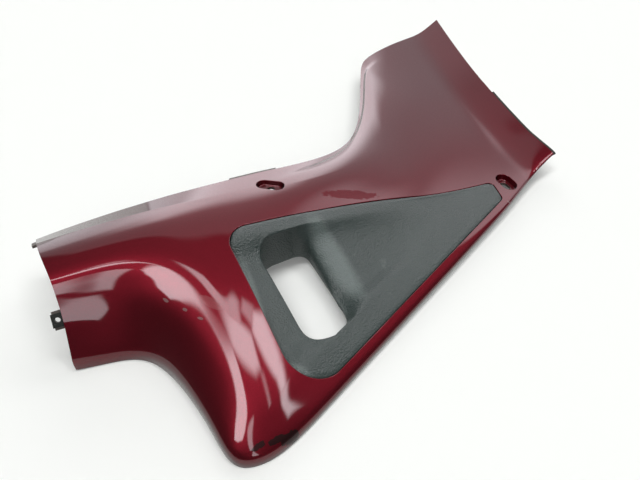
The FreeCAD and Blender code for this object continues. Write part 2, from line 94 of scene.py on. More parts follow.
def skinNet():
    joggle, net = skin["joggle"], []
    for station in range(skin["stations"]):
        lip, foot, shoulder, crown, crest, far = (between(skin[rail], station) for rail in skin["rails"])
        slope = crest + (far - crest) * 0.5 + np.array([0, 0, skin["slopeFullness"] * (crest[2] - far[2])])
        inward = unit(slope - far)
        drop = np.array([0, 0, -joggle["depth"] * between(skin["joggleStops"], station)[0]])
        rampLow = far + inward * joggle["width"] + drop
        rampTop = far + inward * (joggle["width"] + joggle["ramp"])
        blend = inward * joggle["blend"]
        upright = lip + np.array([0, 0, skin["edgeRise"] * (foot[2] - lip[2])])
        net.append([lip, upright, foot, (foot + shoulder) * 0.5, shoulder, (shoulder + crown) * 0.5, crown,
                    (crown + crest) * 0.5, crest, slope, rampTop + blend, rampTop, rampLow, rampLow - blend,
                    far + drop])
    return np.array(net) + skin["origin"]


def clampedWeights(count, places):
    # weights of the poles of a uniform cubic row whose ends reach the last poles
    knots = np.concatenate([np.zeros(3), np.linspace(0, 1, count - 2), np.ones(3)])
    t = np.clip(places, 0, 1 - 1e-12)
    weights = np.array([(t >= knots[i]) & (t < knots[i + 1]) for i in range(count + 3)], float).T
    for degree in (1, 2, 3):
        made = np.zeros((len(t), count + 3 - degree))
        for i in range(count + 3 - degree):
            left, right = knots[i + degree] - knots[i], knots[i + degree + 1] - knots[i + 1]
            if left > 0:
                made[:, i] += (t - knots[i]) / left * weights[:, i]
            if right > 0:
                made[:, i] += (knots[i + degree + 1] - t) / right * weights[:, i + 1]
        weights = made
    return weights


def closedWeights(count, places):
    # the same for a closed row; a whole number lies beside that pole
    weights = np.zeros((len(places), count))
    base = np.floor(places).astype(int)
    t = places - base
    parts = ((1 - t) ** 3, 3 * t ** 3 - 6 * t ** 2 + 4, -3 * t ** 3 + 3 * t ** 2 + 3 * t + 1, t ** 3)
    for k, part in zip((-1, 0, 1, 2), parts):
        weights[np.arange(len(t)), (base + k) % count] += part / 6
    return weights


skinPoles = skinNet()


def skinPoints(us, vs):
    weightsU, weightsV = clampedWeights(skinPoles.shape[0], us), clampedWeights(skinPoles.shape[1], vs)
    return np.einsum("ui,vj,ijk->uvk", weightsU, weightsV, skinPoles)


tiny = 1e-4   # step along a surface's parameter to find its slope


def skinGrid(us, vs):
    # points and outward normals over a grid of the skin's two parameters
    du = skinPoints(np.clip(us + tiny, 0, 1), vs) - skinPoints(np.clip(us - tiny, 0, 1), vs)
    dv = skinPoints(us, np.clip(vs + tiny, 0, 1)) - skinPoints(us, np.clip(vs - tiny, 0, 1))
    normal = unit(np.cross(du, dv))
    return skinPoints(us, vs), normal * np.sign(normal[..., 2:3])


seedShares = [np.linspace(0, 1, count) for count in skin["seeds"]]
seedPoints, seedNormals = (part.reshape(-1, 3) for part in skinGrid(*seedShares))
seedTree = KDTree(len(seedPoints))
for number, seed in enumerate(seedPoints):
    seedTree.insert((seed[0], seed[1], 0), number)
seedTree.balance()


def skinAt(places):
    # points and normals of the skin over places in plan, from the nearest seed and its slope
    places = np.atleast_2d(places)
    found = np.array([seedTree.find((x, y, 0))[1] for x, y in places])
    p, n = seedPoints[found], seedNormals[found]
    z = p[:, 2] - ((places - p[:, :2]) * n[:, :2]).sum(1) / n[:, 2]
    return np.column_stack([places, z]), n


def under(places, depth):
    points, normals = skinAt(places)
    return points - normals * depth


# Meshes

smoothAngle, grownAngle = 40, 35   # degrees; sharper edges stay sharp


def linked(name, data):
    made = bpy.data.objects.new(name, data)
    bpy.context.scene.collection.objects.link(made)
    return made


def meshObject(name, points, faces, smoothAngle=smoothAngle):
    mesh = bpy.data.meshes.new(name)
    mesh.from_pydata((np.asarray(points) * mm).tolist(), [], faces)
    mesh.shade_smooth()
    mesh.set_sharp_from_angle(angle=math.radians(smoothAngle))
    return linked(name, mesh)


def ringFaces(rows, columns, closedRows=True, closedColumns=True, flip=False, offset=0):
    # quads between rows of points; a closed direction joins its last row to its first
    faces = []
    for row in range(rows if closedRows else rows - 1):
        this, following = offset + row * columns, offset + (row + 1) % rows * columns
        for column in range(columns if closedColumns else columns - 1):
            beside = (column + 1) % columns
            quad = (this + column, this + beside, following + beside, following + column)
            faces.append(quad[::-1] if flip else quad)
    return faces


def faceOutward(piece):
    shape = bmesh.new()
    shape.from_mesh(piece.data)
    bmesh.ops.recalc_face_normals(shape, faces=shape.faces)
    shape.to_mesh(piece.data)
    shape.free()


def finishPiece(piece, material, slot, *replaced):
    piece.data.materials.clear()
    piece.data.materials.append(material)
    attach(piece, "root")
    if replaced:
        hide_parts(*replaced)


# Outlines in plan

farAway = 1e3
leastRadius = 0.6   # of a corner, in mm
chunk = 4000   # places measured at a time
halvings = 22


def lineMeet(p, d, q, e):
    t = ((q[0] - p[0]) * e[1] - (q[1] - p[1]) * e[0]) / (d[0] * e[1] - d[1] * e[0])
    return p[0] + d[0] * t, p[1] + d[1] * t


def grownCorners(corners, grow):
    # corners (x, y, radius) of an outline, clockwise, with its sides moved outward by one value or one each
    count = len(corners)
    grow = grow if isinstance(grow, tuple) else (grow,) * count
    lines = []
    for i in range(count):
        a, b = np.array(corners[i][:2]), np.array(corners[(i + 1) % count][:2])
        d = unit(b - a)
        lines.append((a + np.array([-d[1], d[0]]) * grow[i], d))
    made = []
    for i in range(count):
        x, y = lineMeet(*lines[i - 1], *lines[i])
        made.append((x, y, max(leastRadius, corners[i][2] + min(grow[i - 1], grow[i]))))
    return made


def outlinePoints(corners, sideCounts, arcCount):
    # points round an outline: arcCount on each corner's arc and sideCounts between two arcs
    arcs, points = [], []
    count = len(corners)
    for i in range(count):
        corner = np.array(corners[i][:2])
        before = unit(np.array(corners[i - 1][:2]) - corner)
        after = unit(np.array(corners[(i + 1) % count][:2]) - corner)
        half = math.acos(before @ after) / 2
        reach = corners[i][2] / math.tan(half)
        centre = corner + unit(before + after) * corners[i][2] / math.sin(half)
        arcs.append((corner + before * reach, corner + after * reach, centre))
    for i, (start, end, centre) in enumerate(arcs):
        a, b = start - centre, end - centre
        sweep = math.acos(np.clip(a @ b / (np.linalg.norm(a) * np.linalg.norm(b)), -1, 1))
        for k in range(arcCount):
            t = k / (arcCount - 1)
            spoke = (a * math.sin(sweep * (1 - t)) + b * math.sin(sweep * t)) / math.sin(sweep)
            points.append(centre + spoke)
        following = arcs[(i + 1) % count][0]
        for k in range(1, sideCounts[i] + 1):
            points.append(end + (following - end) * k / (sideCounts[i] + 1))
    return np.array(points)


def besideLoop(p, a, b):
    # nearest point to p on each straight part from a to b, and its distance
    along = np.clip(((p - a) * (b - a)).sum(-1) / ((b - a) ** 2).sum(-1), 0, 1)
    on = a + along[..., None] * (b - a)
    return on, np.linalg.norm(p - on, axis=-1)


def insideDistance(places, loop):
    # distance inside a closed loop; outside it is negative
    a, b = loop, np.roll(loop, -1, axis=0)
    result = np.empty(len(places))
    for start in range(0, len(places), chunk):
        p = places[start:start + chunk, None]
        gap = besideLoop(p, a, b)[1]
        crossing = (a[:, 1] > p[..., 1]) != (b[:, 1] > p[..., 1])
        with np.errstate(divide="ignore", invalid="ignore"):
            side = p[..., 0] < (b[:, 0] - a[:, 0]) * (p[..., 1] - a[:, 1]) / (b[:, 1] - a[:, 1]) + a[:, 0]
        within = (crossing & side).sum(1) % 2 == 1
        result[start:start + chunk] = gap.min(1) * np.where(within, 1, -1)
    return result


def nearestOnLoop(places, loop):
    on, gap = besideLoop(places[:, None], loop, np.roll(loop, -1, axis=0))
    return on[np.arange(len(places)), gap.argmin(1)]


def bisect(count, low, high, beyond):
    # for each column the value at which beyond() stops being true
    low, high = np.full(count, float(low)), np.full(count, float(high))
    for _ in range(halvings):
        middle = (low + high) / 2
        test = beyond(middle)
        low, high = np.where(test, middle, low), np.where(test, high, middle)
    return (low + high) / 2


# Black insert with its hand hole, finger ramp and flange
grip = {
    "topLeft": (-76.5, 16.5, 17.0), "topRight": (183.5, -4.7, 5.0), "endLean": -0.25,
    "lowBand": 8.0, "lowRightRadius": 6.0, "lowLeftRadius": 24.0, "margin": 4.5,
    "gap": 0.35, "wall": 2.2, "proud": 1.0, "edgeWidth": 4.2, "edgeDrop": 1.7, "seat": 2.65, "flange": 2.2,
    "flangeReach": (9.0, 9.0, 3.0, 9.0), "cupGap": 0.8,
    "hole": ((-58.5, -1.0, 12.0), (-15.5, -1.0, 9.0), (-17.5, -82.0, 15.0), (-53.5, -95.5, 14.0)),
    "rimRoll": 3.2, "gripRoll": 20.0, "floor": 12.0, "rollStart": 1.5, "rollCrest": 0.65,
    "rollShoulder": 0.1, "shoulderFall": 0.3, "wallFall": 0.58, "leastTube": 2.5,
    "tube": (0.0, 0.35, 0.7, 1.0), "plateRows": 12, "counts": (9, 4, 9, 6), "cornerPoints": 4,
    "loopCounts": (90, 20, 90, 50), "loopCorner": 14,
    "rampDepth": 9.0, "rampEnd": 92.0, "rampTop": 12.0, "rampLow": 21.0, "rampBlend": 12.0,
    "columns": 384, "rows": 104, "edgeSteps": 9, "outerShare": 0.45, "innerFrom": 5, "innerStep": 3,
    "mostReach": 30.0, "leastReach": 0.8, "reachSteps": (1.0, 0.05, 40), "reachSpare": 0.3,
    "flangeLow": (0.0, 0.35, 0.7, 1.0), "flangeTop": (1.0, 0.66, 0.33), "smoothAngle": 50,
    "collar": {"outer": 5.9, "inner": 3.7, "low": 8.5, "root": 0.3, "chamfer": 0.4, "sides": 40},
}


def gripCorners():
    first, second = between(skin["lip"], 10)[:2], between(skin["lip"], 14)[:2]
    along = unit(second - first)
    low = first + np.array([-along[1], along[0]]) * grip["lowBand"]
    right = lineMeet(grip["topRight"], (grip["endLean"], -1), low, along)
    left = lineMeet((grip["topLeft"][0], 0), (0, 1), low, along)
    corners = [grip["topLeft"], grip["topRight"]]
    corners += [(*right, grip["lowRightRadius"]), (*left, grip["lowLeftRadius"])]
    return [(x + originX, y + originY, radius) for x, y, radius in corners]


gripOutline = gripCorners()
holeOutline = [(x + originX, y + originY, radius) for x, y, radius in grip["hole"]]


def outlineLoop(grow):
    return outlinePoints(grownCorners(gripOutline, grow), grip["loopCounts"], grip["loopCorner"])


# Dished recesses for the fixing bolts: middle, direction in degrees, length of the straight sides,
# radius of the round ends, length of the slot in the floor
recess = {
    "places": ((196.5, -11.0, 90.0, 8.0, 7.5, 4.0), (-20.0, 52.5, -40.0, 11.0, 6.8, 0.0)),
    "depth": 5.0, "draft": 1.4, "wall": 2.5, "hole": 3.3, "roll": 0.4, "fillet": 0.8, "arc": 26, "side": 8,
    "wallRows": (0.25, 0.5, 0.75, 1.0), "filletSteps": 4, "rimRounds": 4,
    "holeEdge": ((0.7, 0.0), (0.2, -0.05), (-0.05, -0.7)),
}
recessPlaces = [(x + originX, y + originY, *rest) for x, y, *rest in recess["places"]]


def obround(place, straight, radius):
    # points anticlockwise round a shape with straight sides and round ends, and the same beside its middle
    arc, side = recess["arc"], recess["side"]
    quarter = np.linspace(-math.pi / 2, math.pi / 2, arc)
    flat = np.full(side, math.pi / 2)
    angles = np.concatenate([quarter, flat, quarter + math.pi, flat + math.pi])
    slide = np.linspace(1, -1, side + 2)[1:-1]
    shift = np.concatenate([np.ones(arc), slide, -np.ones(arc), -slide]) * straight / 2
    beside = np.column_stack([np.cos(angles) * radius + shift, np.sin(angles) * radius])
    return turned(place, beside), beside


def turned(place, beside):
    turn = math.radians(place[2])
    axis = np.array([math.cos(turn), math.sin(turn)])
    across = np.array([-math.sin(turn), math.cos(turn)])
    return np.array(place[:2]) + beside[:, :1] * axis + beside[:, 1:] * across


def recessRim(place):
    # where the dish's sloping wall meets the skin: a radius for each point round it
    straight, radius = place[3:5]
    floor = skinAt(place[:2])[0][0, 2] - recess["depth"]
    low = radius - recess["draft"]
    rim = np.full(2 * (recess["arc"] + recess["side"]), float(radius))
    for _ in range(recess["rimRounds"]):
        height = skinAt(obround(place, straight, rim)[0])[0][:, 2] - floor
        rim = low + recess["draft"] * height / recess["depth"]
    return rim, low, floor


# Paint film on the outer face, cut cleanly round the openings, with a rounded lip at each
film = {"across": 296, "around": 160, "out": 0.22, "thick": 0.16, "inset": 0.15, "lip": 0.4, "lipSteps": 5,
        "lap": 0.15, "tuck": 0.01, "near": 8.0, "openingDepths": (1.0, 1.7, 2.4)}


def lipRows(outlineAt, radius):
    # rounded edge of the paint at an opening; outlineAt() gives the outline grown by a distance
    inset = film["inset"]
    rows = [skinAt(outlineAt(radius + film["lap"]))[0] + np.array([0, 0, film["out"] - film["tuck"]])]
    for turn in np.linspace(0, math.pi / 2, film["lipSteps"] + 1):
        edge = skinAt(outlineAt((radius + inset) * (1 - math.sin(turn)) - inset))[0]
        rows.append(edge + np.array([0, 0, film["out"] - (radius + inset) * (1 - math.cos(turn))]))
    return rows


def dishLining(place):
    straight, slot = place[3], place[5]
    rim, low, floor = recessRim(place)
    rows = lipRows(lambda grow: obround(place, straight, rim + grow)[0], recess["roll"])
    lipHeight = rows[-1][:, 2]
    foot, fillet, inset = floor + film["out"], recess["fillet"], film["inset"]
    footRadius = low + recess["draft"] * fillet / recess["depth"] - inset
    for t in recess["wallRows"]:
        radius = (rim - inset) * (1 - t) + footRadius * t
        plan = obround(place, straight, radius)[0]
        rows.append(raised(plan, lipHeight * (1 - t) + (foot + fillet) * t))
    for turn in np.linspace(0, math.pi / 2, recess["filletSteps"] + 1)[1:]:
        plan = obround(place, straight, footRadius - fillet * (1 - math.cos(turn)))[0]
        rows.append(raised(plan, foot + fillet * (1 - math.sin(turn))))
    beside = obround(place, straight, footRadius - fillet)[1]
    middle = np.column_stack([np.clip(beside[:, 0], -slot / 2, slot / 2), np.zeros(len(beside))])
    away = unit(beside - middle)
    for grow, lift in recess["holeEdge"]:
        rows.append(raised(turned(place, middle + away * (recess["hole"] + grow)), foot + lift))
    return np.array(rows)


def openingLip():
    # rounded edge of the paint round the insert, and the painted wall below it
    loop = outlineLoop(0.0)
    step = np.roll(loop, -1, axis=0) - np.roll(loop, 1, axis=0)
    inward = unit(np.column_stack([step[:, 1], -step[:, 0]]))
    rows = lipRows(lambda grow: loop - inward * grow, film["lip"])
    edge, _ = skinAt(loop + inward * film["inset"])
    rows += [edge - np.array([0, 0, depth]) for depth in film["openingDepths"]]
    return np.array(rows)[:, ::-1]


def ringNormals(rings):
    # normals of rings that run anticlockwise, from the outside in and down
    down = np.gradient(rings, axis=0)
    along = np.roll(rings, -1, axis=1) - np.roll(rings, 1, axis=1)
    normal = np.cross(along, down)
    return normal / np.maximum(np.linalg.norm(normal, axis=-1, keepdims=True), 1e-9)


def sheetPiece(name, points, normals, faces, thickness):
    # a sheet given its thickness inward, closed along its edges, with the sheet's own normals
    count = len(points)
    used = {edge for f in faces for edge in zip(f, f[1:] + f[:1])}
    borders = [(i, j) for i, j in used if (j, i) not in used]
    allFaces = list(faces) + [tuple(i + count for i in f[::-1]) for f in faces]
    allFaces += [(j, i, i + count, j + count) for i, j in borders]
    piece = meshObject(name, np.concatenate([points, points - normals * thickness]), allFaces)
    mesh = piece.data
    vertexOf = np.empty(len(mesh.loops), int)
    mesh.loops.foreach_get("vertex_index", vertexOf)
    corners = np.where(vertexOf[:, None] < count, normals[vertexOf % count], -normals[vertexOf % count])
    corners[sum(len(f) for f in faces) * 2:] = 0   # the thin borders keep their own normals
    mesh.normals_split_custom_set(corners.tolist())
    return piece


def paintFilm():
    points, normals = skinGrid(np.linspace(0, 1, film["across"]), np.linspace(0, 1, film["around"]))
    rows, columns = points.shape[:2]
    points, normals = points.reshape(-1, 3), normals.reshape(-1, 3)
    grid = np.arange(rows * columns).reshape(rows, columns)
    edges = np.concatenate([np.column_stack([grid[:-1].ravel(), grid[1:].ravel()]),
                            np.column_stack([grid[:, :-1].ravel(), grid[:, 1:].ravel()])])
    side = np.full(len(points), -farAway)
    rims = [obround(place, place[3], recessRim(place)[0] + recess["roll"])[0] for place in recessPlaces]
    for loop in [outlineLoop(film["lip"])] + rims:
        beside = (points[:, :2] > loop.min(0) - film["near"]) & (points[:, :2] < loop.max(0) + film["near"])
        near = np.where(beside.all(1))[0]
        distance = np.full(len(points), -farAway)
        distance[near] = insideDistance(points[near, :2], loop)
        a, b = edges.T
        crossing = distance[a] * distance[b] < 0
        a, b = a[crossing], b[crossing]
        close = np.unique(np.where(np.abs(distance[a]) < np.abs(distance[b]), a, b))
        points[close], normals[close] = skinAt(nearestOnLoop(points[close, :2], loop))
        distance[close] = 0
        side = np.maximum(side, distance)
    faces = []
    for quad in ringFaces(rows, columns, False, False, flip=True):
        signs = [np.sign(side[i]) for i in quad]
        if max(signs) <= 0:
            faces.append(quad)
        elif min(signs) < 0:   # the opening's edge runs over this quad's diagonal
            for k in range(4):
                corner = (quad[k - 1], quad[k], quad[(k + 1) % 4])
                if side[corner[1]] < 0 and side[corner[0]] == 0 and side[corner[2]] == 0:
                    faces.append(corner)
    used = np.unique(np.concatenate([np.array(f) for f in faces]))
    index = np.full(len(points), -1)
    index[used] = np.arange(len(used))
    allPoints, allNormals = [points[used] + normals[used] * film["out"]], [normals[used]]
    allFaces = [tuple(index[list(f)].tolist()) for f in faces]
    for rings in [openingLip()] + [dishLining(place) for place in recessPlaces]:
        offset = sum(len(part) for part in allPoints)
        allPoints.append(rings.reshape(-1, 3))
        allNormals.append(ringNormals(rings).reshape(-1, 3))
        allFaces += ringFaces(*rings.shape[:2], False, True, offset=offset)
    points, normals = np.concatenate(allPoints), np.concatenate(allNormals)
    return sheetPiece("paintFilm", points, normals, allFaces, film["thick"])


# The insert

def smooth(t):
    # 0 to 1 with soft ends
    t = np.clip(t, 0, 1)
    return t * t * (3 - 2 * t)


def insideSide(places, side):
    # distance inside one side of the insert's outline
    a, b = np.array(gripOutline[side][:2]), np.array(gripOutline[(side + 1) % 4][:2])
    along, beside = b - a, places - a
    return (beside[:, 0] * along[1] - beside[:, 1] * along[0]) / np.linalg.norm(along)


def gripHeight(places):
    edge, rampEnd = holeOutline[1][0], grip["rampEnd"] + originX
    drop = grip["rampDepth"] * smooth((rampEnd - places[:, 0]) / (rampEnd - edge - grip["gripRoll"]))
    drop *= smooth((insideSide(places, 0) - grip["rampTop"]) / grip["rampBlend"])
    drop *= smooth((insideSide(places, 2) - grip["rampLow"]) / grip["rampBlend"])
    return skinAt(places)[0][:, 2] + grip["proud"] - drop


def gripNet():
    # poles of the plate, finger ramp, rolled rim and hole tube, closed round the hole
    outer = outlinePoints(grownCorners(gripOutline, grip["margin"]), grip["counts"], grip["cornerPoints"])
    rim = outlinePoints(holeOutline, grip["counts"], grip["cornerPoints"])
    left, right = holeOutline[0][0], holeOutline[1][0]
    share = smooth((2 * rim[:, 0] - left - right) / (right - left))
    roll = (grip["rimRoll"] + (grip["gripRoll"] - grip["rimRoll"]) * share)[:, None]
    outward = unit(outer - rim)
    start = rim + outward * roll * grip["rollStart"]
    rows = []
    for step in range(grip["plateRows"]):
        places = outer + (start - outer) * step / (grip["plateRows"] - 1)
        rows.append(raised(places, gripHeight(places)))
    crest = rim + outward * roll * grip["rollCrest"]
    crestHeight = gripHeight(crest)
    rows.append(raised(crest, crestHeight))
    shoulder = rim + outward * roll * grip["rollShoulder"]
    rows.append(raised(shoulder, crestHeight - roll[:, 0] * grip["shoulderFall"]))
    floor = grip["floor"] + originZ
    wallTop = np.maximum(floor + grip["leastTube"], crestHeight - roll[:, 0] * grip["wallFall"])
    rows += [raised(rim, wallTop + (floor - wallTop) * down) for down in grip["tube"]]
    return np.array(rows).transpose(1, 0, 2)


# Screws: side of the outline and share of that side, and their turned shape
screws = {
    "stations": ((0, 0.12), (0, 0.52), (0, 0.88), (3, 0.25), (3, 0.64)), "line": 4.5, "seat": 8.65,
    "headSides": 48, "coreSides": 24, "overlap": 0.3, "spin": 1.0, "seed": 0,
    "lengths": {"Head Radius": 5.2, "Edge Radius": 4.3, "Head Height": 2.4, "Core Radius": 1.45,
                "Core Length": 6.95, "Socket Radius": 2.3, "Socket Depth": 1.3},
}


def screwAxes():
    line, places = grownCorners(gripOutline, screws["line"]), []
    for side, share in screws["stations"]:
        a, b = np.array(line[side][:2]), np.array(line[(side + 1) % 4][:2])
        places.append(a + (b - a) * share)
    return skinAt(np.array(places))


def collarRings(point, normal):
    # tube of the insert round a boss: rings along the screw's axis
    collar = grip["collar"]
    across = unit(np.cross(normal, (0.0, 1.0, 0.0)))
    beside = np.cross(normal, across)
    angles = np.linspace(0, 2 * math.pi, collar["sides"], endpoint=False)[:, None]
    spokes = np.cos(angles) * across + np.sin(angles) * beside
    top = grip["seat"] + grip["flange"] - collar["root"]
    outer, low, chamfer = collar["outer"], collar["low"], collar["chamfer"]
    section = ((outer, top), (outer, low - chamfer), (outer - chamfer, low), (collar["inner"], low),
               (collar["inner"], top))
    return np.array([point + spokes * radius - normal * depth for radius, depth in section])


def gripInsert():
    net = gripNet()
    columns = grip["columns"]
    around = closedWeights(len(net), np.linspace(0, len(net), columns, endpoint=False))
    lines = np.einsum("ci,ijk->cjk", around, net)   # one row of poles for each column

    def band(shares):
        return np.einsum("cj,cjx->cx", clampedWeights(lines.shape[1], shares), lines)

    def shareAt(grow):
        loop = outlineLoop(grow)
        return bisect(columns, 0, grip["outerShare"],
                      lambda shares: insideDistance(band(shares)[:, :2], loop) < 0)

    edgeDrop, wall = grip["edgeDrop"], grip["wall"]
    edge = band(shareAt(-grip["gap"]))
    first = shareAt(-grip["gap"] - grip["edgeWidth"])
    shares = [first + (1 - first) * t for t in np.linspace(0, 1, grip["rows"])]
    top = np.array([band(share) for share in shares])
    beside = np.array([band(np.clip(s + tiny, 0, 1)) - band(np.clip(s - tiny, 0, 1)) for s in shares])
    normal = unit(np.cross(np.roll(top, -1, axis=1) - np.roll(top, 1, axis=1), beside))
    normal *= np.sign(normal[3, 0, 2])
    rim, rimHeight = edge[:, :2], edge[:, 2]
    inward = unit(top[0][:, :2] - rim)

    seatHeight = under(rim, grip["seat"])[:, 2]
    rows = [raised(rim, seatHeight), raised(rim, (seatHeight + rimHeight - edgeDrop) / 2)]
    for turn in np.linspace(0, math.pi / 2, grip["edgeSteps"], endpoint=False):
        share = 1 - math.cos(turn)
        height = rimHeight * (1 - share) + top[0][:, 2] * share - edgeDrop * (1 - math.sin(turn))
        rows.append(raised(rim * (1 - share) + top[0][:, :2] * share, height))
    rows += list(top)
    kept = range(grip["rows"] - 1, grip["innerFrom"], -grip["innerStep"])
    rows += [top[k] - normal[k] * wall for k in kept]
    inner = rim + inward * wall
    rows.append(raised(inner, rimHeight - edgeDrop - wall))

    # flange against the underside of the cover, clear of the dished recesses
    reachLoop = outlineLoop(grip["flangeReach"])
    out = bisect(columns, 0, grip["mostReach"],
                 lambda d: insideDistance(rim - inward * d[:, None], reachLoop) > 0)
    for place in recessPlaces:
        keep, _ = obround(place, place[3], place[4] + recess["wall"] + grip["cupGap"])
        for share in np.linspace(*grip["reachSteps"]):
            hit = insideDistance(rim - inward * (out * share)[:, None], keep) > 0
            out = np.where(hit, np.minimum(out, out * share - grip["reachSpare"]), out)
    outer = rim - inward * np.maximum(out, grip["leastReach"])[:, None]
    flangeLow = grip["seat"] + grip["flange"]
    rows += [under(inner + (outer - inner) * t, flangeLow) for t in grip["flangeLow"]]
    rows += [under(rim + (outer - rim) * t, grip["seat"]) for t in grip["flangeTop"]]

    points, faces = np.concatenate(rows), ringFaces(len(rows), columns)
    for point, axis in zip(*screwAxes()):
        rings = collarRings(point, axis)
        faces += ringFaces(*rings.shape[:2], offset=len(points))
        points = np.concatenate([points, rings.reshape(-1, 3)])
    piece = meshObject("gripInsert", points, faces, grip["smoothAngle"])
    faceOutward(piece)
    return piece


# Node trees: arithmetic on sockets, and one method for every other node

class Socket:
    tree = None

    def __init__(self, socket):
        self.socket = socket

    @staticmethod
    def node(kind, settings=None, *values, output=0, **named):
        made = Socket.tree.nodes.new(kind)
        for key, value in (settings or {}).items():
            setattr(made, key, value)
        pairs = list(enumerate(values)) + [(key.replace("_", " "), value) for key, value in named.items()]
        for key, value in pairs:
            if isinstance(value, (Socket, list)):
                for one in value if isinstance(value, list) else [value]:
                    Socket.tree.links.new(one.socket, made.inputs[key])
            elif value is not None:
                made.inputs[key].default_value = value
        return Socket(made.outputs[output])

    def part(self, output):
        return Socket(self.socket.node.outputs[output])

    @staticmethod
    def math(operation, *values):
        return Socket.node("ShaderNodeMath", {"operation": operation}, *values)

    def __add__(self, other):
        return Socket.math("ADD", self, other)

    def __radd__(self, other):
        return Socket.math("ADD", other, self)

    def __sub__(self, other):
        return Socket.math("SUBTRACT", self, other)

    def __rsub__(self, other):
        return Socket.math("SUBTRACT", other, self)

    def __mul__(self, other):
        return Socket.math("MULTIPLY", self, other)

    def __rmul__(self, other):
        return Socket.math("MULTIPLY", other, self)

    def __truediv__(self, other):
        return Socket.math("DIVIDE", self, other)

    def __rtruediv__(self, other):
        return Socket.math("DIVIDE", other, self)


def geometryPiece(name, points, edges, attribute, vectors, material, lengths, build):
    # piece grown by Geometry Nodes on points that carry one vector each, with its lengths as named inputs
    inputs = [("Material", "Material", material)]
    inputs += [(label, "Float", length * mm) for label, length in lengths.items()]
    tree = bpy.data.node_groups.new(name + "Nodes", "GeometryNodeTree")
    tree.interface.new_socket("Geometry", in_out="INPUT", socket_type="NodeSocketGeometry")
    for label, kind, _ in inputs:
        tree.interface.new_socket(label, in_out="INPUT", socket_type="NodeSocket" + kind)
    tree.interface.new_socket("Geometry", in_out="OUTPUT", socket_type="NodeSocketGeometry")
    Socket.tree = tree
    entry = Socket.node("NodeGroupInput")
    carried = Socket.node("GeometryNodeInputNamedAttribute", {"data_type": "FLOAT_VECTOR"}, attribute)
    grown = Socket.node("GeometryNodeRealizeInstances", None, build(entry, carried))
    result = Socket.node("GeometryNodeSetMaterial", None, grown, Material=entry.part("Material"))
    leave = tree.nodes.new("NodeGroupOutput")
    tree.links.new(result.socket, leave.inputs[0])
    mesh = bpy.data.meshes.new(name)
    mesh.from_pydata((np.asarray(points) * mm).tolist(), edges, [])
    layer = mesh.attributes.new(attribute, "FLOAT_VECTOR", "POINT")
    layer.data.foreach_set("vector", np.asarray(vectors).ravel())
    piece = linked(name, mesh)
    modifier = piece.modifiers.new("grow", "NODES")
    modifier.node_group = tree
    for item in tree.interface.items_tree:
        for label, _, value in inputs:
            if item.name == label:
                modifier[item.identifier] = value
    made = bpy.data.meshes.new_from_object(piece.evaluated_get(bpy.context.evaluated_depsgraph_get()))
    piece.modifiers.clear()
    piece.data = made
    made.set_sharp_from_angle(angle=math.radians(grownAngle))
    return piece


def lifted(shape, height):
    place = Socket.node("ShaderNodeCombineXYZ", None, 0.0, 0.0, height)
    return Socket.node("GeometryNodeTransform", None, shape, Translation=place)


def screwNodes(entry, axis):
    # washer head with a hexagon socket and a plain core, on every point along its axis, turned at random
    part, full = entry.part, {"fill_type": "NGON"}
    head = Socket.node("GeometryNodeMeshCone", full, screws["headSides"], 1, 1, part("Edge Radius"),
                       part("Head Radius"), part("Head Height"))
    hexagon = Socket.node("GeometryNodeMeshCylinder", full, 6, 1, 1, part("Socket Radius"),
                          part("Socket Depth") * 2)
    top = 0.0 - part("Head Height")
    cut = Socket.node("GeometryNodeMeshBoolean", {"operation": "DIFFERENCE", "solver": "EXACT"},
                      lifted(head, top), lifted(hexagon, top))
    core = Socket.node("GeometryNodeMeshCylinder", full, screws["coreSides"], 1, 1, part("Core Radius"),
                       part("Core Length"))
    core = lifted(core, part("Core Length") / 2 - screws["overlap"] * mm)
    screw = Socket.node("GeometryNodeJoinGeometry", None, [core, cut])
    turn = Socket.node("FunctionNodeRandomValue", {"data_type": "FLOAT"}, Min=0.0, Max=screws["spin"],
                       Seed=screws["seed"], output="Value")
    spin = Socket.node("FunctionNodeAxisAngleToRotation", None, (0.0, 0.0, 1.0), turn)
    stand = Socket.node("FunctionNodeAlignRotationToVector", {"axis": "Z"}, None, 1.0, axis)
    rotation = Socket.node("FunctionNodeRotateRotation", {"rotation_space": "LOCAL"}, stand, spin)
    points = Socket.node("GeometryNodeMeshToPoints", None, entry)
    return Socket.node("GeometryNodeInstanceOnPoints", None, points, Instance=screw, Rotation=rotation)


# Rubber seal and foam pad behind the upturned end of the arm
seal = {"from": 0.05, "to": 0.47, "count": 90,
        "inside": 9.0, "reach": 3.2, "depth": 2.65, "thick": 2.4, "round": 0.7}
pad = {"from": 0.485, "to": 0.53, "count": 14,
       "inside": 9.0, "reach": 1.6, "depth": 2.65, "thick": 3.0, "round": 0.9,
       "cornerPoints": 7, "taper": 2.5, "taperDepth": 0.6, "smoothAngle": 50}


def lipFrames(shares):
    # points on the arm's end edge, the way out past it and the outward normals
    points, normals = (part[0] for part in skinGrid(np.array([1.0]), shares))
    return points, unit(points - skinPoints(np.array([1 - tiny]), shares)[0]), normals


def sealNodes(entry, up):
    # bar of rounded section swept along the edge, kept square to the skin
    path = Socket.node("GeometryNodeMeshToCurve", None, entry)
    path = Socket.node("GeometryNodeSetCurveNormal", {"mode": "FREE"}, path, Normal=up)
    section = Socket.node("GeometryNodeCurvePrimitiveQuadrilateral", {"mode": "RECTANGLE"},
                          entry.part("Thickness"), entry.part("Width"))
    section = Socket.node("GeometryNodeFilletCurve", {"mode": "POLY"}, section, Count=4,
                          Radius=entry.part("Round"))
    bar = Socket.node("GeometryNodeCurveToMesh", None, path, section, Fill_Caps=True)
    return Socket.node("GeometryNodeSetShadeSmooth", None, bar)


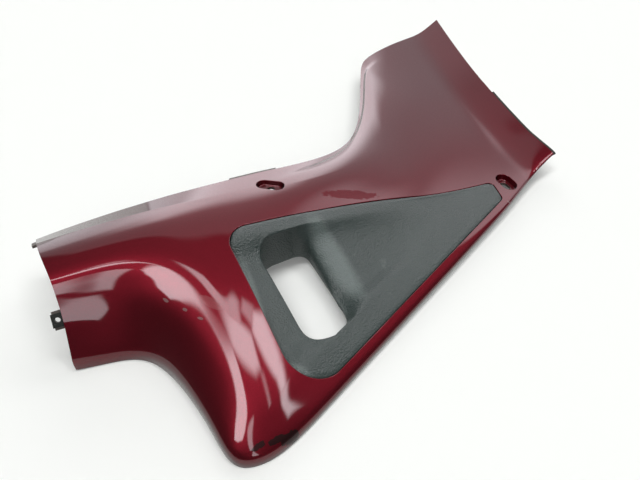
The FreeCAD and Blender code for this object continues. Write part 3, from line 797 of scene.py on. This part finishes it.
def behindEdge(strip, points, outward, normals):
    # middle line of a strip that lies under the edge and reaches a little past it
    depth = strip["depth"] + strip["thick"] / 2
    return points + outward * (strip["reach"] - strip["inside"]) / 2 - normals * depth


def edgeSeal(material):
    points, outward, normals = lipFrames(np.linspace(seal["from"], seal["to"], seal["count"]))
    edges = [(i, i + 1) for i in range(len(points) - 1)]
    lengths = {"Thickness": seal["thick"], "Width": seal["inside"] + seal["reach"], "Round": seal["round"]}
    middle = behindEdge(seal, points, outward, normals)
    return geometryPiece("edgeSeal", middle, edges, "up", normals, material, lengths, sealNodes)


def foamPad():
    # soft block with rounded edges and ends
    points, outward, normals = lipFrames(np.linspace(pad["from"], pad["to"], pad["count"]))
    width, thick, radius = pad["inside"] + pad["reach"], pad["thick"], pad["round"]
    middle = behindEdge(pad, points, outward, normals)
    rings = []
    for k in range(pad["count"]):
        end = min(k, pad["count"] - 1 - k) / pad["taper"]
        inset = radius * pad["taperDepth"] * max(0.0, 1 - end) ** 2
        section = []
        for cornerX, cornerY, start in ((1, 1, 0), (-1, 1, 90), (-1, -1, 180), (1, -1, 270)):
            for turn in np.radians(start + np.linspace(0, 90, pad["cornerPoints"])):
                section.append((cornerX * (width / 2 - inset - radius) + math.cos(turn) * radius,
                                cornerY * (thick / 2 - inset - radius) + math.sin(turn) * radius))
        flat = np.array(section)
        rings.append(middle[k] + flat[:, :1] * outward[k] + flat[:, 1:] * normals[k])
    rings = np.array(rings)
    count = rings.shape[1]
    faces = ringFaces(len(rings), count, False, True)
    faces += [tuple(range(count))[::-1], tuple(range((len(rings) - 1) * count, len(rings) * count))]
    piece = meshObject("foamPad", rings.reshape(-1, 3), faces, pad["smoothAngle"])
    faceOutward(piece)
    return piece


def step(value, low, high):
    # 0 below low and 1 above high, soft between
    return Socket.node("ShaderNodeMapRange", {"interpolation_type": "SMOOTHSTEP"}, value, low, high, 0.0, 1.0)


def limit(value):
    return Socket.node("ShaderNodeClamp", None, value, 0.0, 1.0)


def mixColour(share, first, second):
    made = Socket.tree.nodes.new("ShaderNodeMix")
    made.data_type = "RGBA"
    for key, value in (("Factor_Float", share), ("A_Color", first), ("B_Color", second)):
        target = next(socket for socket in made.inputs if socket.identifier == key)
        if isinstance(value, Socket):
            Socket.tree.links.new(value.socket, target)
        else:
            target.default_value = (*value, 1) if isinstance(value, tuple) else value
    return Socket(next(socket for socket in made.outputs if socket.identifier == "Result_Color"))


def noise(place, scale, detail=2.0, roughness=0.5):
    return Socket.node("ShaderNodeTexNoise", None, place, Scale=scale, Detail=detail, Roughness=roughness)


def material(name, settings, build):
    # settings are constants on the shader; build() returns the sockets that vary
    made = bpy.data.materials.new(name)
    made.use_nodes = True
    Socket.tree = made.node_tree
    shader = made.node_tree.nodes["Principled BSDF"]
    for key, value in settings.items():
        shader.inputs[key].default_value = (*value, 1) if isinstance(value, tuple) else value
    place = Socket.node("ShaderNodeTexCoord", output="Object")
    for key, value in build(place).items():
        made.node_tree.links.new(value.socket, shader.inputs[key])
    return made


# Marks of use and of painted light: how ragged they are, the share of coat and colour they take, and their
# spots in mm by middle, direction in degrees in plan, half length and half width. The spots on the insert's
# ramp, roll and lower corner are painted sheen; the dark spots along the paint's tip are a painted dark
# reflection.
markEdge = {"noise": (210.0, 4.0, 0.65), "inner": 0.82, "outer": 1.02}
marks = {
    # painted sheen on the insert: lighter colour and less roughness on the ramp beside the hole, the roll's
    # left edge and the lower corner
    "paintedSheen": {"ragged": 0.5, "inner": 0.05, "spots": (
        (-59.0, -97.0, -86.0, 46.0, 13.0), (-134.0, -115.0, 81.5, 48.0, 6.0),
        (-132.0, -168.0, -45.0, 20.0, 8.0))},
    "dull": {"ragged": 2.4, "coat": 0.72, "spots": ((-17.5, -48.5, -19.0, 25.0, 5.5),)},
    "faint": {"ragged": 0.5, "coat": 0.2, "colour": 0.1, "spots": ((-162.8, -104.1, -56.0, 10.0, 3.2),)},
    "pale": {"ragged": 3.4, "coat": 0.6, "colour": 0.5, "spots": (
        (-189.9, -85.5, -56.0, 2.6, 0.9), (-179.9, -99.3, -56.0, 2.2, 0.9),
        (-173.0, -110.4, -50.0, 2.2, 0.8), (124.3, -99.0, -60.0, 3.0, 1.1))},
    # painted dark reflection along the tip's edge, with less coat there
    "dark": {"ragged": 3.6, "coat": 0.5, "colour": 0.85, "spots": (
        (-150.6, -202.6, 10.0, 7.0, 2.5), (-160.0, -201.5, 8.0, 6.0, 2.0),
        (-170.5, -200.5, 5.0, 5.0, 1.8))},
}


def markMask(place, kind):
    mark = marks[kind]
    inner = mark.get("inner", markEdge["inner"])
    split = Socket.node("ShaderNodeSeparateXYZ", None, place)
    rough = (noise(place, *markEdge["noise"]) - 0.5) * mark["ragged"]
    total = None
    for x, y, direction, halfLength, halfWidth in mark["spots"]:
        turn = math.radians(direction)
        alongX, alongY = split - x * mm, split.part(1) - y * mm
        along = (alongX * math.cos(turn) + alongY * math.sin(turn)) * (1 / (halfLength * mm))
        across = (alongY * math.cos(turn) - alongX * math.sin(turn)) * (1 / (halfWidth * mm))
        spot = 1 - step(along * along + across * across + rough, inner, markEdge["outer"])
        total = spot if total is None else total + spot
    return limit(total)


def cells(place, scale, output="Distance"):
    return Socket.node("ShaderNodeTexVoronoi", {"feature": "F1"}, place, Scale=scale, output=output)


def bump(height, depth, strength=1.0):
    return Socket.node("ShaderNodeBump", None, strength, depth * mm, Height=height)


# Materials: noises by scale, detail and roughness; reliefs by depth in mm and strength
paint = {
    "deep": (0.108, 0.003, 0.008), "light": (0.166, 0.006, 0.015), "cloud": (9.0, 3.0),
    "aslant": (0.02, 0.002, 0.003), "aslantEdge": (0.15, 0.75), "aslantShare": 0.8,
    # scuffs are pale; the near-black colour on the next line is a painted dark reflection near the tip
    "scuffed": (0.34, 0.25, 0.25), "paintedDarkReflection": (0.016, 0.012, 0.012),
    "flake": 2600.0, "flakeRough": 0.16, "flakeRelief": (0.006, 0.5), "roughness": 0.42, "scuffRough": 0.25,
    "haze": (330.0, 5.0, 0.7), "hazeEdge": (0.60, 0.74), "hazeCoat": 0.05,
}


def paintNodes(place):
    glint = Socket.node("ShaderNodeSeparateColor", None, cells(place, paint["flake"], "Color"))
    mask = {kind: markMask(place, kind) for kind in ("dull", "faint", "pale", "dark")}
    share = limit(glint * 0.5 + noise(place, *paint["cloud"]) * 0.5)
    facing = Socket.node("ShaderNodeLayerWeight", None, 0.5, output="Facing")
    aslant = step(facing, *paint["aslantEdge"]) * paint["aslantShare"]
    base = mixColour(aslant, mixColour(share, paint["deep"], paint["light"]), paint["aslant"])
    scuffed = mask["faint"] * marks["faint"]["colour"] + mask["pale"] * marks["pale"]["colour"]
    base = mixColour(scuffed, base, paint["scuffed"])
    # painted dark reflection: the dark spots near the tip take a near-black colour
    base = mixColour(mask["dark"] * marks["dark"]["colour"], base, paint["paintedDarkReflection"])
    rough = paint["roughness"] + (glint.part(1) - 0.5) * paint["flakeRough"]
    coat = 1.0
    for kind in mask:
        coat = coat - mask[kind] * marks[kind]["coat"]
    haze = step(noise(place, *paint["haze"]), *paint["hazeEdge"])
    return {"Base Color": base, "Roughness": limit(rough + mask["pale"] * paint["scuffRough"]),
            "Coat Weight": limit(coat - haze * paint["hazeCoat"]),
            "Normal": bump(glint.part(2), *paint["flakeRelief"])}


# the lighter rubbed colour serves both the random scuffs and the painted sheen spots
grain = {
    "colours": ((0.026, 0.041, 0.039), (0.040, 0.058, 0.054)), "wear": (26.0, 5.0, 0.6),
    "rubbedAndSheen": (0.14, 0.175, 0.17), "scuff": (75.0, 6.0, 0.72), "scuffEdge": (0.62, 0.74), "scuffShare": 0.3,
    "sheenShare": 0.4, "sheenFine": 0.7, "roughness": 0.27, "fineRough": 0.16, "rubbedRough": 0.05,
    "pebble": 760.0, "pebbleSoft": 0.5, "fine": (2100.0, 3.0), "fineRelief": 0.6, "relief": 0.45,
}


def grainNodes(place):
    pebble = Socket.node("ShaderNodeTexVoronoi", {"feature": "SMOOTH_F1"}, place, Scale=grain["pebble"],
                         Smoothness=grain["pebbleSoft"])
    fine = noise(place, *grain["fine"])
    scuff = step(noise(place, *grain["scuff"]), *grain["scuffEdge"])
    # painted sheen: these spots on the ramp, roll and lower corner take the lighter colour
    paintedSheen = markMask(place, "paintedSheen")
    colour = mixColour(noise(place, *grain["wear"]), *grain["colours"])
    rubbedAndSheen = scuff * grain["scuffShare"] + paintedSheen * (grain["sheenShare"] + fine * grain["sheenFine"])
    rough = grain["roughness"] + fine * grain["fineRough"]
    rough = rough - scuff * grain["rubbedRough"] - paintedSheen * grain["rubbedRough"]
    return {"Base Color": mixColour(limit(rubbedAndSheen), colour, grain["rubbedAndSheen"]), "Roughness": limit(rough),
            "Normal": bump(pebble + fine * grain["fineRelief"], grain["relief"])}


shell = {"colours": ((0.075, 0.060, 0.054), (0.115, 0.094, 0.086)), "roughness": (0.42, 0.2),
         "flow": (40.0, 4.0), "fine": (1500.0, 2.0), "relief": (0.03, 0.5)}
rubber = {"colours": ((0.018, 0.018, 0.016), (0.045, 0.042, 0.038)), "roughness": (0.75, 0.2),
          "age": (160.0, 4.0), "cells": 1400.0, "relief": (0.12, 0.7)}
foam = {"colours": ((0.36, 0.32, 0.26), (0.56, 0.51, 0.45)), "roughness": (0.85, 0.1),
        "age": (120.0, 4.0), "cells": 1100.0, "relief": (0.2, 0.8)}
steel = {"colours": ((0.36, 0.35, 0.32), (0.62, 0.61, 0.58)), "roughness": (0.24, 0.25),
         "brush": (700.0, 4.0, 0.6), "patina": (240.0, 5.0), "relief": (0.01, 0.4)}
clip = {"colours": ((0.022, 0.024, 0.022), (0.16, 0.15, 0.14)), "roughness": (0.5, 0.3),
        "cells": 1900.0, "wear": (300.0, 5.0, 0.7), "wearEdge": (0.58, 0.72), "relief": (0.01, 0.5)}


def surface(look, share, rough, height):
    # two colours mixed by a share, roughness from its least by its spread, and relief
    least, spread = look["roughness"]
    return {"Base Color": mixColour(share, *look["colours"]), "Roughness": limit(least + rough * spread),
            "Normal": bump(height, *look["relief"])}


def shellNodes(place):
    flow, fine = noise(place, *shell["flow"]), noise(place, *shell["fine"])
    return surface(shell, flow, fine, fine + flow)


def agedNodes(look):
    def build(place):
        age = noise(place, *look["age"])
        return surface(look, age, age, cells(place, look["cells"]))

    return build


def steelNodes(place):
    brush = noise(place, *steel["brush"])
    return surface(steel, noise(place, *steel["patina"]), brush, brush)


def clipNodes(place):
    crystal = cells(place, clip["cells"])
    return surface(clip, step(noise(place, *clip["wear"]), *clip["wearEdge"]), crystal, crystal)


candyCoat = {"Metallic": 0.8, "Specular IOR Level": 0.12, "Coat Roughness": 0.045, "Coat IOR": 1.52}
candyPaint = material("candyPaint", candyCoat, paintNodes)
grainPlastic = material("grainPlastic", {"Specular IOR Level": 0.7}, grainNodes)
bareShell = material("bareShell", {}, shellNodes)
blackRubber = material("blackRubber", {}, agedNodes(rubber))
paleFoam = material("paleFoam", {}, agedNodes(foam))
zincSteel = material("zincSteel", {"Metallic": 1.0}, steelNodes)
darkClip = material("darkClip", {"Metallic": 0.3}, clipNodes)

print("paint film")
finishPiece(paintFilm(), candyPaint, "painted_cover")
print("grip insert")
finishPiece(gripInsert(), grainPlastic, "grip_insert", "grip_insert")
print("insert screws")
screwPoints, screwNormals = screwAxes()
screwSeats = screwPoints - screwNormals * screws["seat"]
screwPiece = geometryPiece("insertScrews", screwSeats, [], "axis", screwNormals, zincSteel,
                           screws["lengths"], screwNodes)
screwNames = ["insert_screw_%d" % (i + 1) for i in range(len(screwPoints))]
finishPiece(screwPiece, zincSteel, "screws", *screwNames)
print("seal and foam pad")
finishPiece(edgeSeal(blackRubber), blackRubber, "edge_seal", "edge_seal")
padPiece = foamPad()
finishPiece(padPiece, paleFoam, "foam_pad", "foam_pad")
print("shell and clip")
for name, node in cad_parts.items():
    node.data.materials.clear()
    node.data.materials.append(darkClip if name == "clip_nut" else bareShell)

# Camera, floor and studio light
camera = {
    "target": (-56.25, -65.92, 18.984), "distance": 437.0, "elevation": 45.0, "azimuth": 28.0,
    "focal": 520.0, "pixels": 640, "sensor": 36.0, "clip": (0.01, 50.0),
}
elevation, azimuth = math.radians(camera["elevation"]), math.radians(camera["azimuth"])
forward = Vector((math.sin(azimuth), math.cos(azimuth), 0))
sideways = Vector((forward.y, -forward.x, 0))
look = forward * math.cos(elevation) - Vector((0, 0, math.sin(elevation)))


def placeCamera():
    cam = bpy.data.cameras.new("camera")
    cam.sensor_width = camera["sensor"]
    cam.lens = camera["focal"] / camera["pixels"] * camera["sensor"]
    cam.clip_start, cam.clip_end = camera["clip"]
    made = linked("camera", cam)
    made.location = (Vector(camera["target"]) - look * camera["distance"]) * mm
    made.rotation_mode = "QUATERNION"
    made.rotation_quaternion = look.to_track_quat("-Z", "Y")
    bpy.context.scene.camera = made


paper = {
    "gap": 0.0003, "front": 0.27, "reach": 6.0,
    "colour": (0.845, 0.845, 0.84), "glow": 0.085, "roughness": (0.86, 0.1), "fibre": 90.0,
}


def layPaper():
    # pale sheet that ends a little way in front of the cover
    target = Vector((camera["target"][0] * mm, camera["target"][1] * mm, -paper["gap"]))
    front, reach = paper["front"], paper["reach"]
    places = ((-front, -reach), (-front, reach), (reach, reach), (reach, -reach))
    corners = [target + forward * ahead + sideways * side for ahead, side in places]
    mesh = bpy.data.meshes.new("floor")
    mesh.from_pydata(corners, [], [(0, 1, 2, 3)])
    floor = linked("floor", mesh)

    def floorNodes(place):
        seen = Socket.node("ShaderNodeLightPath")
        glow = Socket.node("ShaderNodeCombineColor", None, seen, seen, seen)
        least, spread = paper["roughness"]
        return {"Emission Color": glow, "Roughness": limit(least + noise(place, paper["fibre"]) * spread)}

    settings = {"Base Color": paper["colour"], "Emission Strength": paper["glow"], "Specular IOR Level": 0.2}
    mesh.materials.append(material("floorPaper", settings, floorNodes))


# Studio as seen in the paint: shapes lie in the plane of the ceiling, x right and y ahead of the camera.
# The walls' brightness starts and ends softly between two turns (x / y) or two heights (0 level, 1 overhead)
studio = {
    "dark": 0.055, "below": 0.03, "horizon": 1.8, "left": 3.6, "right": 0.66, "near": 2.4,
    "edge": 0.62, "edgeSoft": 0.035, "leftBend": -0.4, "leftSlope": 1.2,
    "leastHeight": 0.015, "leastAhead": 0.05,
    "leftStart": (-0.6, -0.3), "leftEnd": (-0.09, 0.1), "leftLow": (0.14, 0.24), "leftHigh": (0.44, 0.62),
    "reach": 0.1, "reachHigh": (0.42, 0.46), "rightLow": (0.29, 0.43), "nearLow": (0.54, 0.68),
    "nearStart": (0.28, 0.55), "lowLightHigh": (0.1, 0.5), "level": (-0.01, 0.01),
    "tint": (1.0, 0.94, 0.985), "plainTint": (0.985, 1.0, 0.98), "lowLight": 0.3, "plain": 1.16,
    "panes": (
        (8.6, ((-0.7, -0.42), (-0.6, -0.25), (-0.42, -0.08), (-0.2, 0.0), (-0.18, -0.3), (-0.25, -0.4),
               (-0.5, -0.45))),
        (8.6, ((-0.2, 0.0), (-0.04, 0.14), (0.15, 0.14), (0.2, 0.07), (0.12, 0.03), (-0.1, 0.005))),
        (5.5, ((-0.125, 0.12), (-0.12, 0.29), (0.0, 0.32), (0.04, 0.25), (0.03, 0.12))),
        (3.5, ((0.19, 0.06), (0.24, 0.06), (0.42, -0.13), (0.4, -0.17))),
        (4.5, ((0.05, 0.2), (0.08, 0.28), (0.2, 0.26), (0.2, 0.16))),
        (9.5, ((0.17, 0.15), (0.2, 0.24), (0.3, 0.25), (0.42, 0.17), (0.47, 0.08), (0.42, 0.06))),
        (9.5, ((0.42, 0.06), (0.42, 0.17), (0.62, 0.02), (0.58, -0.05))),
        (8.0, ((0.57, -0.05), (0.63, 0.035), (0.8, -0.145), (0.755, -0.23))),
        (9.0, ((0.38, 0.29), (0.42, 0.35), (0.58, 0.32), (0.66, 0.23), (0.62, 0.2))),
        (4.5, ((-0.1, -0.3), (0.03, -0.25), (0.15, -0.54), (0.2, -0.72), (0.1, -0.74))),
        (4.0, ((0.5, -2.25), (0.3, -1.6), (0.2, -0.8), (0.235, -0.79), (0.9, -2.2)))),
    "paneSoft": 0.026,
}


def pane(x, y, corners):
    # 1 inside a shape with straight sides whose corners run clockwise
    least = None
    for (ax, ay), (bx, by) in zip(corners, corners[1:] + corners[:1]):
        length = math.hypot(bx - ax, by - ay)
        nx, ny = (by - ay) / length, (ax - bx) / length
        distance = x * nx + y * ny - (ax * nx + ay * ny)
        least = distance if least is None else Socket.math("MINIMUM", least, distance)
    return step(least, -studio["paneSoft"], studio["paneSoft"])


def buildStudio():
    world = bpy.data.worlds.new("studio")
    bpy.context.scene.world = world
    world.use_nodes = True
    Socket.tree = world.node_tree
    split = Socket.node("ShaderNodeSeparateXYZ", None, Socket.node("ShaderNodeTexCoord"))
    height = split.part(2)
    up = Socket.math("MAXIMUM", height, studio["leastHeight"])
    x = (split * sideways.x + split.part(1) * sideways.y) / up
    y = (split * forward.x + split.part(1) * forward.y) / up
    start = studio["edge"] + Socket.math("MAXIMUM", studio["leftBend"] - x, 0.0) * studio["leftSlope"]
    wall = step(y - start, -studio["edgeSoft"], studio["edgeSoft"])
    # pale walls: brighter low on the left, dim low on the right, bright again along the ceiling's right edge
    turn = x / Socket.math("MAXIMUM", y, studio["leastAhead"])
    reach = (1 - step(height, *studio["reachHigh"])) * studio["reach"]
    left = step(turn, *studio["leftStart"]) * (1 - step(turn - reach, *studio["leftEnd"]))
    left = left * step(height, *studio["leftLow"]) * (1 - step(height, *studio["leftHigh"]))
    right = step(height, *studio["rightLow"])
    near = step(height, *studio["nearLow"]) * step(turn, *studio["nearStart"])
    level = studio["horizon"] + (studio["right"] - studio["horizon"]) * right
    level = level + (studio["near"] - level) * near
    level = level + (studio["left"] - level) * left
    light = studio["dark"] + wall * (level - studio["dark"])
    seen = Socket.node("ShaderNodeLightPath")
    glossy = seen.part("Is Glossy Ray")
    low = 1 - step(height, *studio["lowLightHigh"])
    light = light * (1 - (1 - glossy) * (1 - studio["lowLight"]) * low)
    plain = glossy + (1 - glossy) * studio["plain"]
    windows = 0.0
    for strength, corners in studio["panes"]:
        windows = Socket.math("MAXIMUM", windows, pane(x, y, corners) * strength)
    light = (light + windows) * plain
    above = step(height, *studio["level"])
    light = light * above + studio["below"] * (1 - above)
    strength = light * (1 - seen) + seen
    background = world.node_tree.nodes["Background"]
    tint = mixColour(seen, mixColour(glossy, studio["plainTint"], studio["tint"]), (1.0, 1.0, 1.0))
    world.node_tree.links.new(tint.socket, background.inputs["Color"])
    world.node_tree.links.new(strength.socket, background.inputs["Strength"])


print("camera, floor and studio")
placeCamera()
layPaper()
buildStudio()
bpy.context.scene.view_settings.view_transform = "Standard"
